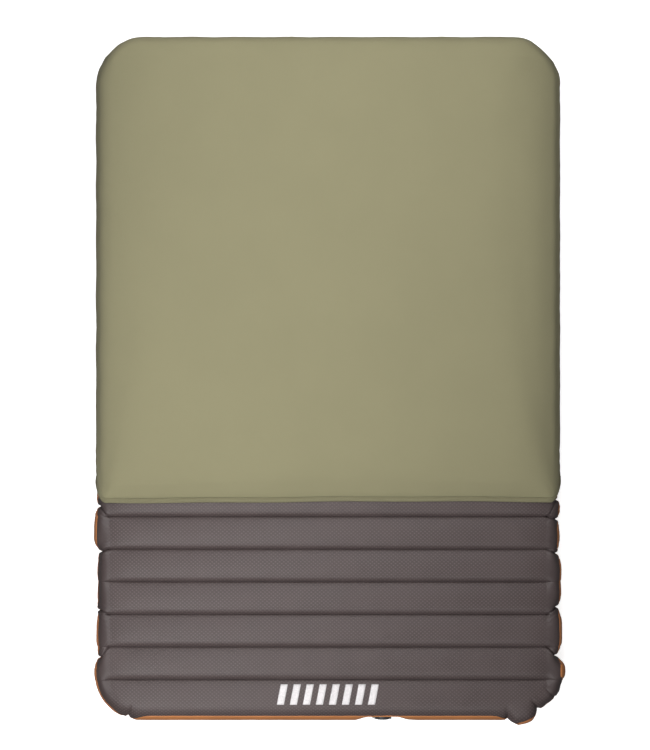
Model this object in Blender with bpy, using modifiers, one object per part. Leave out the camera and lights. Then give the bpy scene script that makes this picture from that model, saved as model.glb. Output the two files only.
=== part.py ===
"""Two-person inflatable sleeping pad, as separate solids (Blender 4.5, metres, +Z up).

The air mattress is a quilted box. Its base sheet wraps up the round side wall,
its top sheet is lapped inside the base sheet's rim, and cross baffles tie the two
together, which leaves a row of air tubes. A foam topper in a knit cover is held
over the head end by an elastic edge and two straps that lie in the valleys
underneath. The foot wall carries a flat valve: a hinged plug that dumps the air,
with the one-way inlet in it, and a hinged lid on the plug.

+Y points to the head end and +X to the right. The origin is on the ground,
under the middle of the pad.
"""

from math import cos, pi, radians, sin, sqrt

import bmesh
import bpy
from mathutils import Matrix, Vector

# The air mattress
LENGTH = 1.930
WIDTH = 1.320
AIR_HEIGHT = 0.100
WALL_RADIUS = AIR_HEIGHT / 2
CORNER_CUT = 0.056
SHEET = 0.0004
GAP = 0.0003
TUBE_COUNT = 20
TUBE_PITCH = 0.0915
FOOT_TUBE = 0.119  # the head tube takes the rest of the length
VALLEY_DEPTH = 0.017
VALLEYS = [FOOT_TUBE - LENGTH / 2 + TUBE_PITCH * k for k in range(TUBE_COUNT - 1)]

# The core is the plan area inside the round wall; its corners are cut off.
CORE_X = WIDTH / 2 - WALL_RADIUS
CORE_Y = LENGTH / 2 - WALL_RADIUS
CUT_START_Y = CORE_Y - CORNER_CUT
TOP_INSET = SHEET + GAP
BAFFLE_END_GAP = 0.040
BAFFLE_CORNER = 0.012

# The wall is drawn at these angles above the middle of the wall, in degrees.
BASE_WALL_ANGLES = (-60, -28, 0, 30, 38)
TOP_WALL_ANGLES = (62, 38, 30)
COVER_WALL_ANGLES = (62, 38, 30, 0, -28)

# The foam topper and its knit cover
KNIT = 0.0008
PAD_HEIGHT = 0.140
HEM_Y = -0.347
HEM_WIDTH = 0.014
STITCH_Y = HEM_Y + HEM_WIDTH
HEM_TOP = AIR_HEIGHT + GAP + KNIT
FRONT_RUN = 0.210
FRONT_STEPS = (0.06, 0.14, 0.3, 0.5, 0.75, 1.0)
FRONT_LIP = 0.15  # the share of the rise that comes right behind the stitch line
FRONT_LIP_RUN = 0.025
FOAM_HEIGHT = 0.038
FOAM_MARGIN = 0.022
FOAM_FRONT_Y = -0.305
FOAM_EDGE_RADIUS = 0.030
FOAM_SLACK = 0.0012
LINER_FRONT_Y = -0.322
LINER_MARGIN = 0.006
LINER_BOTTOM = AIR_HEIGHT - TOP_INSET + GAP
FOAM_BOTTOM = LINER_BOTTOM + SHEET + GAP
ELASTIC_RADIUS = 0.0016
ELASTIC_ANGLE = -31.5
STRAP_WIDTH = 0.020
STRAP_THICKNESS = 0.0012
STRAP_VALLEYS = {"under_strap_foot": 6, "under_strap_head": 14}
STRAP_PATH = ((0.0425, 0.0195), (0.025, 0.0115), (0.0, 0.0075), (-0.060, 0.0060))

# The valve, on a stretch of the foot wall that its flange holds flat
VALVE_X = 0.154
VALVE_Z = 0.051
FLAT_Y = -0.951
FLAT_HALF = 0.034
FLAT_FADE = 0.075
SEGMENTS = 32
PIN_SEGMENTS = 12
HOLE_RADIUS = 0.0213
FLANGE_RADIUS = 0.028
BODY_RADIUS = 0.0208
BODY_RIM = 0.0250
BODY_RIM_TOP = 0.0044
BORE_RADIUS = 0.0170
BODY_DEPTH = 0.014
PLUG_TOP = 0.0076
PLUG_FLANGE = 0.0215
PLUG_UNDER_FLANGE = 0.0058
PLUG_BORE = 0.0120
PLUG_DEPTH = 0.009
SPIDER_TOP = -0.0072
HUB_RADIUS = 0.0034
RING_RADIUS = 0.0080
SPOKE_WIDTH = 0.0020
STEM_RADIUS = 0.0012
STEM_HOLE = 0.0015
LID_RADIUS = 0.0185
LID_UNDER = 0.0088
LID_TOP = 0.0106
SPIGOT_RADIUS = 0.0114
SPIGOT_END = 0.0058
PLUG_HINGE = (-0.0270, 0.0059)
PLUG_KNUCKLE = 0.0022
LID_HINGE = (0.0235, 0.0086)
LID_KNUCKLE = 0.0019
PIN_RADIUS = 0.0008
PIN_HOLE = 0.0011
KNUCKLE_HALF = 0.0028
LUG_INNER = 0.0033
LUG_OUTER = 0.0066
WEB_STEP = 0.0002

OLIVE = (0.315, 0.300, 0.185)
GREY = (0.125, 0.100, 0.098)
RUST = (0.420, 0.165, 0.045)
BLACK = (0.018, 0.018, 0.020)
CHARCOAL = (0.045, 0.045, 0.048)
FOAM_CREAM = (0.780, 0.740, 0.600)
STEEL = (0.620, 0.620, 0.630)
MILKY = (0.680, 0.680, 0.650)


# ---- scene helpers -------------------------------------------------------------


def clear_scene():
    for old in list(bpy.data.objects):
        bpy.data.objects.remove(old)


def new_collection(name):
    collection = bpy.data.collections.new(name)
    bpy.context.scene.collection.children.link(collection)
    return collection


def material(name, colour, roughness, metallic=0.0):
    made = bpy.data.materials.new(name)
    made.use_nodes = True
    shader = made.node_tree.nodes["Principled BSDF"]
    shader.inputs["Base Color"].default_value = (*colour, 1.0)
    shader.inputs["Roughness"].default_value = roughness
    shader.inputs["Metallic"].default_value = metallic
    return made


def add_object(name, data, finish, parent=None, offset=(0, 0, 0)):
    """A named object in the pad's collection, with its material."""
    data.materials.append(finish)
    made = bpy.data.objects.new(name, data)
    PAD.objects.link(made)
    made.parent = parent
    made.location = offset
    return made


def add_bmesh(name, bm, finish, parent=None, offset=(0, 0, 0), smooth_angle=40):
    data = bpy.data.meshes.new(name)
    bm.to_mesh(data)
    bm.free()
    data.shade_smooth()
    data.set_sharp_from_angle(angle=radians(smooth_angle))
    return add_object(name, data, finish, parent, offset)


def solidify(target, thickness):
    """Gives a sheet its thickness, on the side away from its normals."""
    wall = target.modifiers.new("thickness", "SOLIDIFY")
    wall.thickness = thickness
    wall.offset = -1
    wall.use_even_offset = True


def combine(target, tool, operation):
    """Cuts or joins a hidden tool into target with a Boolean."""
    PAD.objects.unlink(tool)
    TOOLS.objects.link(tool)
    tool.hide_render = True
    tool.display_type = "WIRE"
    step = target.modifiers.new(operation.lower(), "BOOLEAN")
    step.operation = operation
    step.solver = "EXACT"
    step.object = tool


# ---- shape of the mattress -----------------------------------------------------


def core_half_width(y):
    return CORE_X - max(0.0, abs(y) - CUT_START_Y)


def outward(x, y):
    """Plan vector out of the core's outline, mitred where two of its edges meet."""
    near = 1e-5
    normals = []
    if abs(y) < CUT_START_Y + near:
        normals.append(Vector((x, 0)).normalized())
    if abs(y) > CORE_Y - near:
        normals.append(Vector((0, y)).normalized())
    if abs(y) > CUT_START_Y - near and abs(x) > CORE_X - CORNER_CUT - near:
        normals.append(Vector((x / abs(x), y / abs(y))).normalized())
    return (normals[0] + normals[-1]) / (1 + normals[0].dot(normals[-1]))


def dip(y):
    """How far a tube's skin lies below its flat crown, deepest at a baffle."""
    from_valley = min(abs(y - valley) for valley in VALLEYS)
    return VALLEY_DEPTH * max(0.0, 1 - from_valley / (TUBE_PITCH / 3))


def wall_point(foot, angle, reach, semi_height):
    """A point of the round side wall, at an angle above its middle."""
    out = outward(foot.x, foot.y) * reach * cos(angle)
    return Vector((foot.x + out.x, foot.y + out.y, WALL_RADIUS + semi_height * sin(angle)))


def flatten_for_valve(point, inset):
    """Presses the foot wall flat behind the valve; the flat fades out sideways."""
    flat_y = FLAT_Y + inset
    share = (FLAT_FADE - abs(point.x - VALVE_X)) / (FLAT_FADE - FLAT_HALF)
    if point.y < flat_y:
        point.y += min(max(share, 0), 1) * (flat_y - point.y)


def core_grid(rows, inner_columns, height):
    """A sheet over the core: rows at the given y, side edges on the core's outline."""
    bm = bmesh.new()
    across, along = len(inner_columns) + 1, len(rows) - 1
    bmesh.ops.create_grid(bm, x_segments=across, y_segments=along, size=1)
    for vert in bm.verts:
        y = rows[round((vert.co.y + 1) / 2 * along)]
        edge = core_half_width(y)
        x = (-edge, *inner_columns, edge)[round((vert.co.x + 1) / 2 * across)]
        vert.co = (x, y, height(y))
    return bm


def extrude_wall(bm, ring, angles, reach, semi_height):
    """Extrudes a border of the sheet along the wall, one ring of faces for each angle."""
    feet = {vert: vert.co.copy() for edge in ring for vert in edge.verts}
    for degrees in angles:
        made = bmesh.ops.extrude_edge_only(bm, edges=ring)["geom"]
        verts = {item for item in made if isinstance(item, bmesh.types.BMVert)}
        risen = {}
        for vert in verts:
            neighbours = (edge.other_vert(vert) for edge in vert.link_edges)
            foot = next(feet[other] for other in neighbours if other in feet)
            vert.co = wall_point(foot, radians(degrees), reach, semi_height(foot.y, degrees))
            risen[vert] = foot
        feet = risen
        edges = (item for item in made if isinstance(item, bmesh.types.BMEdge))
        ring = [edge for edge in edges if set(edge.verts) <= verts]


def face_out(bm, upward):
    """Turns an open sheet's faces the way that its middle has to face."""
    bmesh.ops.recalc_face_normals(bm, faces=bm.faces)
    middle = min(bm.faces, key=lambda face: face.calc_center_median().xy.length)
    if (middle.normal.z > 0) != upward:
        bmesh.ops.reverse_faces(bm, faces=bm.faces)


def tube_rows():
    """The y of each fold line of the quilted sheets."""
    rows = {y for valley in VALLEYS for y in (valley - TUBE_PITCH / 3, valley, valley + TUBE_PITCH / 3)}
    return sorted(rows | {-CORE_Y, -CUT_START_Y, CUT_START_Y, CORE_Y})


def quilted_sheet(name, upward, inset, angles, finish):
    """One skin of the air mattress, with its tubes and its part of the wall."""
    columns = [VALVE_X + x for x in (-FLAT_FADE, -FLAT_HALF, FLAT_HALF, FLAT_FADE)]

    def height(y):
        depth = dip(y) + inset
        return AIR_HEIGHT - depth if upward else depth

    bm = core_grid(tube_rows(), columns, height)
    ring = [edge for edge in bm.edges if edge.is_boundary]
    extrude_wall(bm, ring, angles, WALL_RADIUS - inset, lambda y, _: WALL_RADIUS - dip(y) - inset)
    for vert in bm.verts:
        flatten_for_valve(vert.co, inset)
    face_out(bm, upward)
    bmesh.ops.triangulate(bm, faces=bm.faces, quad_method="SHORT_EDGE")
    sheet = add_bmesh(name, bm, finish)
    solidify(sheet, SHEET)
    return sheet


def flat_panel(name, outline, thickness, finish):
    """A flat panel cut to an outline in its own XY plane."""
    curve = bpy.data.curves.new(name, "CURVE")
    curve.dimensions = "2D"
    curve.fill_mode = "BOTH"
    curve.extrude = thickness / 2
    spline = curve.splines.new("POLY")
    spline.points.add(len(outline) - 1)
    for point, (x, y) in zip(spline.points, outline):
        point.co = (x, y, 0, 1)
    spline.use_cyclic_u = True
    return add_object(name, curve, finish)


def rounded_rectangle(half_width, low, high, radius, steps=3):
    """Outline of a rectangle with round corners, anticlockwise."""
    corners = ((1, low, 270), (1, high, 0), (-1, high, 90), (-1, low, 180))
    outline = []
    for side, edge, start in corners:
        centre_x = side * (half_width - radius)
        centre_y = edge + radius if edge == low else edge - radius
        for k in range(steps + 1):
            angle = radians(start + 90 * k / steps)
            outline.append((centre_x + radius * cos(angle), centre_y + radius * sin(angle)))
    return outline


def baffles(finish):
    """The upright webs that tie the top sheet to the base sheet at each valley."""
    low = VALLEY_DEPTH + SHEET + 2 * GAP
    high = AIR_HEIGHT - TOP_INSET - VALLEY_DEPTH - SHEET - 2 * GAP
    for number, y in enumerate(VALLEYS, start=1):
        half = core_half_width(y) - BAFFLE_END_GAP
        outline = rounded_rectangle(half, low, high, BAFFLE_CORNER)
        web = flat_panel(f"baffle_{number:02d}", outline, SHEET, finish)
        web.location = (0, y, 0)
        web.rotation_euler = (pi / 2, 0, 0)


# ---- topper and cover ----------------------------------------------------------


def cover_height(y):
    """Top of the cover: flat at the hem, then a slow rise over the tapered foam."""
    lip = min(max((y - STITCH_Y) / FRONT_LIP_RUN, 0), 1)
    step = min(max((y - STITCH_Y) / FRONT_RUN, 0), 1)
    share = FRONT_LIP * lip * (2 - lip) + (1 - FRONT_LIP) * step * (2 - step)
    return HEM_TOP + (PAD_HEIGHT - HEM_TOP) * share


def cover_band(name, rows, finish):
    """A stretch of the knit cover, with its skirt on every side that has a wall."""
    bm = core_grid(rows, (), cover_height)

    def has_wall(edge):
        ends = [vert.co for vert in edge.verts]
        across = abs(ends[0].y - ends[1].y) < 1e-6
        return edge.is_boundary and not (across and ends[0].y < CORE_Y - 1e-5)

    reach = WALL_RADIUS + GAP + KNIT
    ring = [edge for edge in bm.edges if has_wall(edge)]
    extrude_wall(
        bm, ring, COVER_WALL_ANGLES, reach,
        lambda y, degrees: cover_height(y) - WALL_RADIUS if degrees > 0 else reach,
    )
    face_out(bm, upward=True)
    band = add_bmesh(name, bm, finish)
    solidify(band, KNIT)


def topper_outline(front_y, margin):
    """Outline of the foam or its liner: a rectangle with cut corners at the head."""
    half, head = CORE_X + margin, CORE_Y + margin
    cut = CORNER_CUT + margin * (2 - sqrt(2))
    return [
        (half, front_y), (half, head - cut), (half - cut, head),
        (cut - half, head), (-half, head - cut), (-half, front_y),
    ]


def taper_front(bm):
    """Slopes the foam's top down to its front edge, under the cover's slow rise."""
    rows = [STITCH_Y + FRONT_RUN * step for step in FRONT_STEPS]
    for y in (row for row in rows if row > FOAM_FRONT_Y):
        parts = list(bm.verts) + list(bm.edges) + list(bm.faces)
        bmesh.ops.bisect_plane(bm, geom=parts, plane_co=(0, y, 0), plane_no=(0, 1, 0))
    for vert in bm.verts:
        if vert.co.z > FOAM_BOTTOM + 0.001:
            room = cover_height(vert.co.y) - KNIT - FOAM_SLACK - FOAM_BOTTOM
            vert.co.z = FOAM_BOTTOM + (vert.co.z - FOAM_BOTTOM) * min(1, room / FOAM_HEIGHT)


def foam_topper(finish):
    """The foam slab, with its upper edges rounded and its front tapered."""
    bm = bmesh.new()
    outline = topper_outline(FOAM_FRONT_Y, FOAM_MARGIN)
    base = bm.faces.new([bm.verts.new((x, y, FOAM_BOTTOM)) for x, y in outline])
    top = bmesh.ops.extrude_face_region(bm, geom=[base])["geom"]
    raised = [item for item in top if isinstance(item, bmesh.types.BMVert)]
    bmesh.ops.translate(bm, verts=raised, vec=(0, 0, FOAM_HEIGHT))
    rim = [edge for edge in bm.edges if set(edge.verts) <= set(raised)]
    bmesh.ops.bevel(
        bm, geom=rim, offset=FOAM_EDGE_RADIUS, segments=4, profile=0.5, affect="EDGES"
    )
    taper_front(bm)
    bmesh.ops.recalc_face_normals(bm, faces=bm.faces)
    add_bmesh("foam_topper", bm, finish)


def edge_elastic(finish):
    """The elastic cord under the skirt's edge, from one foot corner round the head."""
    reach = WALL_RADIUS + 2 * GAP + ELASTIC_RADIUS
    foot_end = HEM_Y + HEM_WIDTH / 2
    side = [(CORE_X, foot_end), (CORE_X, CUT_START_Y), (CORE_X - CORNER_CUT, CORE_Y)]
    border = side + [(-x, y) for x, y in reversed(side)]
    curve = bpy.data.curves.new("cover_elastic", "CURVE")
    curve.dimensions = "3D"
    curve.bevel_depth = ELASTIC_RADIUS
    curve.bevel_resolution = 2
    curve.use_fill_caps = True
    spline = curve.splines.new("POLY")
    spline.points.add(len(border) - 1)
    for point, (x, y) in zip(spline.points, border):
        place = wall_point(Vector((x, y)), radians(ELASTIC_ANGLE), reach, reach)
        point.co = (*place, 1)
    add_object("cover_elastic", curve, finish)


def under_straps(finish):
    """Flat straps from skirt to skirt, in the valleys of the base sheet."""
    half = [(CORE_X + x, z) for x, z in STRAP_PATH]
    path = half + [(-x, z) for x, z in reversed(half)]
    for name, valley in STRAP_VALLEYS.items():
        curve = bpy.data.curves.new(name, "CURVE")
        curve.dimensions = "2D"
        curve.fill_mode = "NONE"
        curve.extrude = STRAP_WIDTH / 2
        spline = curve.splines.new("POLY")
        spline.points.add(len(path) - 1)
        for point, (x, z) in zip(spline.points, path):
            point.co = (x, z, 0, 1)
        strap = add_object(name, curve, finish)
        strap.location = (0, VALLEYS[valley], 0)
        strap.rotation_euler = (pi / 2, 0, 0)
        webbing = strap.modifiers.new("thickness", "SOLIDIFY")
        webbing.thickness = STRAP_THICKNESS
        webbing.offset = 0


# ---- valve ---------------------------------------------------------------------
# Its frame has local X to the right, local Y up and local Z out of the wall.


def turned(name, profile, finish, parent, offset=(0, 0, 0)):
    """A shape turned about local Z from (radius, height) points, outer side first."""
    bm = bmesh.new()
    points = [bm.verts.new((radius, 0, height)) for radius, height in profile]
    on_axis = profile[0][0] == 0 and profile[-1][0] == 0
    ends = points if on_axis else points + points[:1]
    for first, second in zip(ends, ends[1:]):
        bm.edges.new((first, second))
    made = add_bmesh(name, bm, finish, parent, offset)
    screw = made.modifiers.new("turn", "SCREW")
    screw.steps = screw.render_steps = SEGMENTS
    screw.use_merge_vertices = True
    screw.merge_threshold = 1e-5
    return made


def washer(name, inner, outer, low, high, finish, parent, offset=(0, 0, 0)):
    """A flat ring."""
    profile = [(outer, high), (outer, low), (inner, low), (inner, high)]
    return turned(name, profile, finish, parent, offset)


def block(name, low, high, finish, parent, offset):
    """A box between two corners."""
    bm = bmesh.new()
    size = Vector(high) - Vector(low)
    middle = (Vector(high) + Vector(low)) / 2
    place = Matrix.Translation(middle) @ Matrix.Diagonal((*size, 1))
    bmesh.ops.create_cube(bm, size=1, matrix=place)
    return add_bmesh(name, bm, finish, parent, offset)


def rod(name, axis_at, radius, low, high, finish, parent, offset):
    """A round bar along local Y, centred on (x, z)."""
    bm = bmesh.new()
    middle = Vector((axis_at[0], (low + high) / 2, axis_at[1]))
    place = Matrix.Translation(middle) @ Matrix.Rotation(pi / 2, 4, "X")
    bmesh.ops.create_cone(
        bm, cap_ends=True, segments=PIN_SEGMENTS, radius1=radius, radius2=radius,
        depth=high - low, matrix=place,
    )
    return add_bmesh(name, bm, finish, parent, offset)


def frame_empty(name, parent, location, rotation=(0, 0, 0)):
    empty = bpy.data.objects.new(name, None)
    PAD.objects.link(empty)
    empty.parent = parent
    empty.location = location
    empty.rotation_euler = rotation
    return empty


def add_knuckle(target, hinge, radius, span, web, finish, parent, offset):
    """Joins one hinge knuckle, and the slightly narrower web that carries it, to target."""
    low, high = span
    name = f"{target.name}_knuckle_{low * 1000:.0f}"
    (web_x, web_z), (web_end, web_top) = web
    arm = block(f"{name}_web", (web_x, low + WEB_STEP, web_z), (web_end, high - WEB_STEP, web_top),
                finish, parent, offset)
    barrel = rod(name, hinge, radius, low, high, finish, parent, offset)
    combine(target, arm, "UNION")
    combine(target, barrel, "UNION")


def bore_hinge(target, hinge, finish, parent, offset):
    """Cuts the pin's hole along a hinge axis."""
    hole = rod(f"{target.name}_pin_hole_{hinge[0] * 1000:.0f}", hinge, PIN_HOLE, -0.010, 0.010,
               finish, parent, offset)
    combine(target, hole, "DIFFERENCE")


def valve_body(frame, plastic, film):
    """The parts that are fixed to the wall: welded flange, threaded barrel and rim."""
    washer("valve_flange", HOLE_RADIUS, FLANGE_RADIUS, GAP, GAP + 0.0012, film, frame)
    profile = [
        (BODY_RIM - 0.0008, BODY_RIM_TOP), (BODY_RIM, BODY_RIM_TOP - 0.0008), (BODY_RIM, 0.0018),
        (BODY_RADIUS, 0.0018), (BODY_RADIUS, -BODY_DEPTH), (BORE_RADIUS, -BODY_DEPTH),
        (BORE_RADIUS, BODY_RIM_TOP),
    ]
    body = turned("valve_body", profile, plastic, frame)
    web = ((PLUG_HINGE[0], 0.0020), (-0.0235, 0.0042))
    for side in (1, -1):
        span = sorted((side * LUG_INNER, side * LUG_OUTER))
        add_knuckle(body, PLUG_HINGE, PLUG_KNUCKLE, span, web, plastic, frame, (0, 0, 0))
    bore_hinge(body, PLUG_HINGE, plastic, frame, (0, 0, 0))
    rod("plug_hinge_pin", PLUG_HINGE, PIN_RADIUS, -LUG_OUTER, LUG_OUTER, MATERIALS["steel"],
        frame, (0, 0, 0))


def spider_grille(plug, axis, offset, plastic):
    """The inlet's floor: a hub for the disc's stem, and six spokes with a ring across them."""
    floor, middle = -PLUG_DEPTH, (SPIDER_TOP - PLUG_DEPTH) / 2
    hub = washer("spider_hub", STEM_HOLE, HUB_RADIUS, floor, SPIDER_TOP, plastic, axis, offset)
    combine(plug, hub, "UNION")
    for number in range(6):
        low = ((STEM_HOLE + HUB_RADIUS) / 2, -SPOKE_WIDTH / 2, middle - 0.0007)
        high = (PLUG_BORE + 0.001, SPOKE_WIDTH / 2, middle + 0.0007)
        spoke = block(f"spider_spoke_{number}", low, high, plastic, axis, offset)
        spoke.rotation_euler = (0, 0, pi * number / 3 + pi / 2)
        combine(plug, spoke, "UNION")
    ring = washer("spider_ring", RING_RADIUS - 0.0007, RING_RADIUS + 0.0007,
                  middle - 0.0008, middle + 0.0008, plastic, axis, offset)
    combine(plug, ring, "UNION")


def valve_plug(axis, offset, plastic, soft):
    """The plug that swings out to dump the air, with the inlet's spider in it."""
    profile = [
        (PLUG_FLANGE - 0.0005, PLUG_TOP), (PLUG_FLANGE, PLUG_TOP - 0.0005),
        (PLUG_FLANGE, PLUG_UNDER_FLANGE), (0.0164, PLUG_UNDER_FLANGE), (0.0164, 0.0),
        (0.0153, -0.005), (0.0140, -PLUG_DEPTH), (PLUG_BORE, -PLUG_DEPTH), (PLUG_BORE, PLUG_TOP),
    ]
    plug = turned("valve_plug", profile, plastic, axis, offset)
    spider_grille(plug, axis, offset, plastic)
    arm = ((PLUG_HINGE[0], 0.0060), (-0.0190, 0.0074))
    add_knuckle(plug, PLUG_HINGE, PLUG_KNUCKLE, (-KNUCKLE_HALF, KNUCKLE_HALF), arm,
                plastic, axis, offset)
    bore_hinge(plug, PLUG_HINGE, plastic, axis, offset)
    lug = ((0.0192, 0.0060), (LID_HINGE[0], LID_HINGE[1] - 0.0004))
    for side in (1, -1):
        span = sorted((side * LUG_INNER, side * LUG_OUTER))
        add_knuckle(plug, LID_HINGE, LID_KNUCKLE, span, lug, plastic, axis, offset)
    bore_hinge(plug, LID_HINGE, plastic, axis, offset)
    rod("lid_hinge_pin", LID_HINGE, PIN_RADIUS, -LUG_OUTER, LUG_OUTER, MATERIALS["steel"],
        axis, offset)
    washer("plug_gasket", 0.0172, 0.0208, BODY_RIM_TOP + GAP, PLUG_UNDER_FLANGE - GAP, soft,
           axis, offset)


def valve_membrane(axis, offset, soft):
    """The one-way disc, with the stem and bulb that hold it in the spider."""
    disc_top = -PLUG_DEPTH - GAP
    profile = [
        (0, -0.0022), (0.0018, -0.0026), (0.0023, -0.0034), (STEM_RADIUS, -0.0044),
        (STEM_RADIUS, disc_top), (0.0132, disc_top), (0.0132, disc_top - 0.0006),
        (0, disc_top - 0.0009),
    ]
    turned("valve_membrane", profile, soft, axis, offset)


def valve_lid(axis, offset, plastic, soft):
    """The outer lid: a spigot that fills the inlet, a pull tab and its gasket."""
    profile = [
        (0, LID_TOP), (LID_RADIUS - 0.0006, LID_TOP), (LID_RADIUS, LID_TOP - 0.0006),
        (LID_RADIUS, LID_UNDER), (SPIGOT_RADIUS, LID_UNDER), (SPIGOT_RADIUS, SPIGOT_END + 0.0005),
        (SPIGOT_RADIUS - 0.0005, SPIGOT_END), (0, SPIGOT_END),
    ]
    lid = turned("valve_lid", profile, plastic, axis, offset)
    tab = block("lid_tab", (-0.0235, -0.005, 0.0093), (-0.0160, 0.005, 0.0104), plastic, axis, offset)
    combine(lid, tab, "UNION")
    arm = ((0.0160, 0.0091), (LID_HINGE[0], 0.0102))
    add_knuckle(lid, LID_HINGE, LID_KNUCKLE, (-KNUCKLE_HALF, KNUCKLE_HALF), arm,
                plastic, axis, offset)
    bore_hinge(lid, LID_HINGE, plastic, axis, offset)
    washer("lid_gasket", 0.0126, 0.0154, PLUG_TOP + GAP, LID_UNDER - GAP, soft, axis, offset)


def valve(sheet):
    """The whole valve, on the flat of the foot wall, and its hole in the sheet."""
    frame = frame_empty("valve_frame", None, (VALVE_X, FLAT_Y, VALVE_Z), (pi / 2, 0, 0))
    hole = turned("wall_hole", [(0, 0.01), (HOLE_RADIUS, 0.01), (HOLE_RADIUS, -0.01), (0, -0.01)],
                  MATERIALS["charcoal"], frame)
    combine(sheet, hole, "DIFFERENCE")
    valve_body(frame, MATERIALS["charcoal"], MATERIALS["black"])
    plug_at = (PLUG_HINGE[0], 0, PLUG_HINGE[1])
    lid_at = (LID_HINGE[0], 0, LID_HINGE[1])
    plug_axis = frame_empty("plug_axis", frame, plug_at)
    plug_offset = tuple(-value for value in plug_at)
    valve_plug(plug_axis, plug_offset, MATERIALS["charcoal"], MATERIALS["black"])
    valve_membrane(plug_axis, plug_offset, MATERIALS["silicone"])
    lid_axis = frame_empty("lid_axis", plug_axis, Vector(lid_at) - Vector(plug_at))
    valve_lid(lid_axis, tuple(-value for value in lid_at), MATERIALS["charcoal"], MATERIALS["black"])


# ---- the pad -------------------------------------------------------------------

clear_scene()
PAD = new_collection("inflatable_sleeping_pad")
TOOLS = new_collection("boolean_tools")
MATERIALS = {
    "olive_knit": material("olive_knit", OLIVE, 0.85),
    "grey_fabric": material("grey_fabric", GREY, 0.55),
    "rust_fabric": material("rust_fabric", RUST, 0.55),
    "black": material("black_rubber", BLACK, 0.60),
    "charcoal": material("charcoal_plastic", CHARCOAL, 0.45),
    "foam": material("cream_foam", FOAM_CREAM, 0.95),
    "steel": material("steel", STEEL, 0.30, 1.0),
    "silicone": material("milky_silicone", MILKY, 0.40),
}

base_sheet = quilted_sheet("base_sheet", False, 0.0, BASE_WALL_ANGLES, MATERIALS["rust_fabric"])
quilted_sheet("top_sheet", True, TOP_INSET, TOP_WALL_ANGLES, MATERIALS["grey_fabric"])
baffles(MATERIALS["black"])

liner = flat_panel("cover_liner", topper_outline(LINER_FRONT_Y, LINER_MARGIN), SHEET,
                   MATERIALS["black"])
liner.location.z = LINER_BOTTOM + SHEET / 2
foam_topper(MATERIALS["foam"])
front_rows = [STITCH_Y + FRONT_RUN * step for step in FRONT_STEPS]
cover_band("knit_cover", [STITCH_Y + GAP, *front_rows, CUT_START_Y, CORE_Y], MATERIALS["olive_knit"])
cover_band("cover_hem", [HEM_Y, STITCH_Y], MATERIALS["olive_knit"])
edge_elastic(MATERIALS["black"])
under_straps(MATERIALS["black"])

valve(base_sheet)
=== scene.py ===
from math import cos, pi, radians, sin

import bmesh
import bpy
import numpy as np
from mathutils import Matrix, Vector, noise


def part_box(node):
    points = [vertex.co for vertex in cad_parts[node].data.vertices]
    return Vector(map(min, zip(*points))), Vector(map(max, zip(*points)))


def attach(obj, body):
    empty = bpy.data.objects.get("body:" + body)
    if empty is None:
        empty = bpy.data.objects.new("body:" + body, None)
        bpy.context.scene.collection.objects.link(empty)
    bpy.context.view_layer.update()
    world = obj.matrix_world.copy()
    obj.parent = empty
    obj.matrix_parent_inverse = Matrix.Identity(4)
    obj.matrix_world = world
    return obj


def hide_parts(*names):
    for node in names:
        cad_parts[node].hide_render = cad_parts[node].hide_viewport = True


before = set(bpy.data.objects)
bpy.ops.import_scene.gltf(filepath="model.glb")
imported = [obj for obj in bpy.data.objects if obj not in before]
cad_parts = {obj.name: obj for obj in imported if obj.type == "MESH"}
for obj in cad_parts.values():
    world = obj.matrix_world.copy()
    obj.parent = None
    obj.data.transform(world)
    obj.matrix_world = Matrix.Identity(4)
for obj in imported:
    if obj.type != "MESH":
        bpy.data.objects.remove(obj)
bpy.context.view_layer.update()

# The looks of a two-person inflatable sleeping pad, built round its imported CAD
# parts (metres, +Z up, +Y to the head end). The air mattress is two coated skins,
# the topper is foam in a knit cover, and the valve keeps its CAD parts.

# ---- sizes, read from the CAD parts ---------------------------------------------


def middle(node):
    low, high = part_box(node)
    return (low + high) / 2


LAP = 0.0007  # the top skin lies this far inside the base skin
SKIN = 0.0004
KNIT = 0.0008
WALL = (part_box("top_sheet")[1].z + LAP) / 2
CORE_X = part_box("base_sheet")[1].x - WALL
CORE_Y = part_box("base_sheet")[1].y - WALL
BAFFLES = {number: middle(f"baffle_{number:02d}").y for number in range(1, 20)}
VALLEYS = np.array(sorted(BAFFLES.values()))
PITCH = float(VALLEYS[1] - VALLEYS[0])
SAG = 0.0170  # how far the valleys lie below the crowns
TOP_CROWN, BASE_CROWN = 0.75, 0.5  # where a tube is highest, as a share from its head end
HEM_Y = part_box("cover_hem")[0].y
STITCH_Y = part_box("knit_cover")[0].y
COVER_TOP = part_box("knit_cover")[1].z
HEM_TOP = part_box("cover_hem")[1].z
COVER_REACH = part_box("knit_cover")[1].x - CORE_X
COVER_DROP = 0.165  # length of the skirt's cloth
TUCK_ANGLE = 28  # how far past straight down the skirt turns under, in degrees
EDGE_FROM, EDGE_POWER = 0.44, 3.3  # the cover draws down the sides of the foam
SETTLE = 0.0030  # the knit may move this far in the simulation

# The cover rises from the hem over FRONT_RUN. FRONT_LIP is the share of the rise
# that comes within FRONT_LIP_RUN.
FRONT_RUN, FRONT_LIP, FRONT_LIP_RUN = 0.210, 0.15, 0.025

# What each corner takes off across and along, and a power that is 2 for a round
# corner and nearer 1 for a cut. Side first, then end: -1 is the left or the foot.
CORNERS = {(-1, -1): (0.074, 0.074, 1.7), (1, -1): (0.075, 0.052, 1.15),
           (-1, 1): (0.095, 0.095, 2.0), (1, 1): (0.074, 0.074, 1.3)}
LONGEST_CORNER = max(along for _, along, _ in CORNERS.values())

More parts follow.
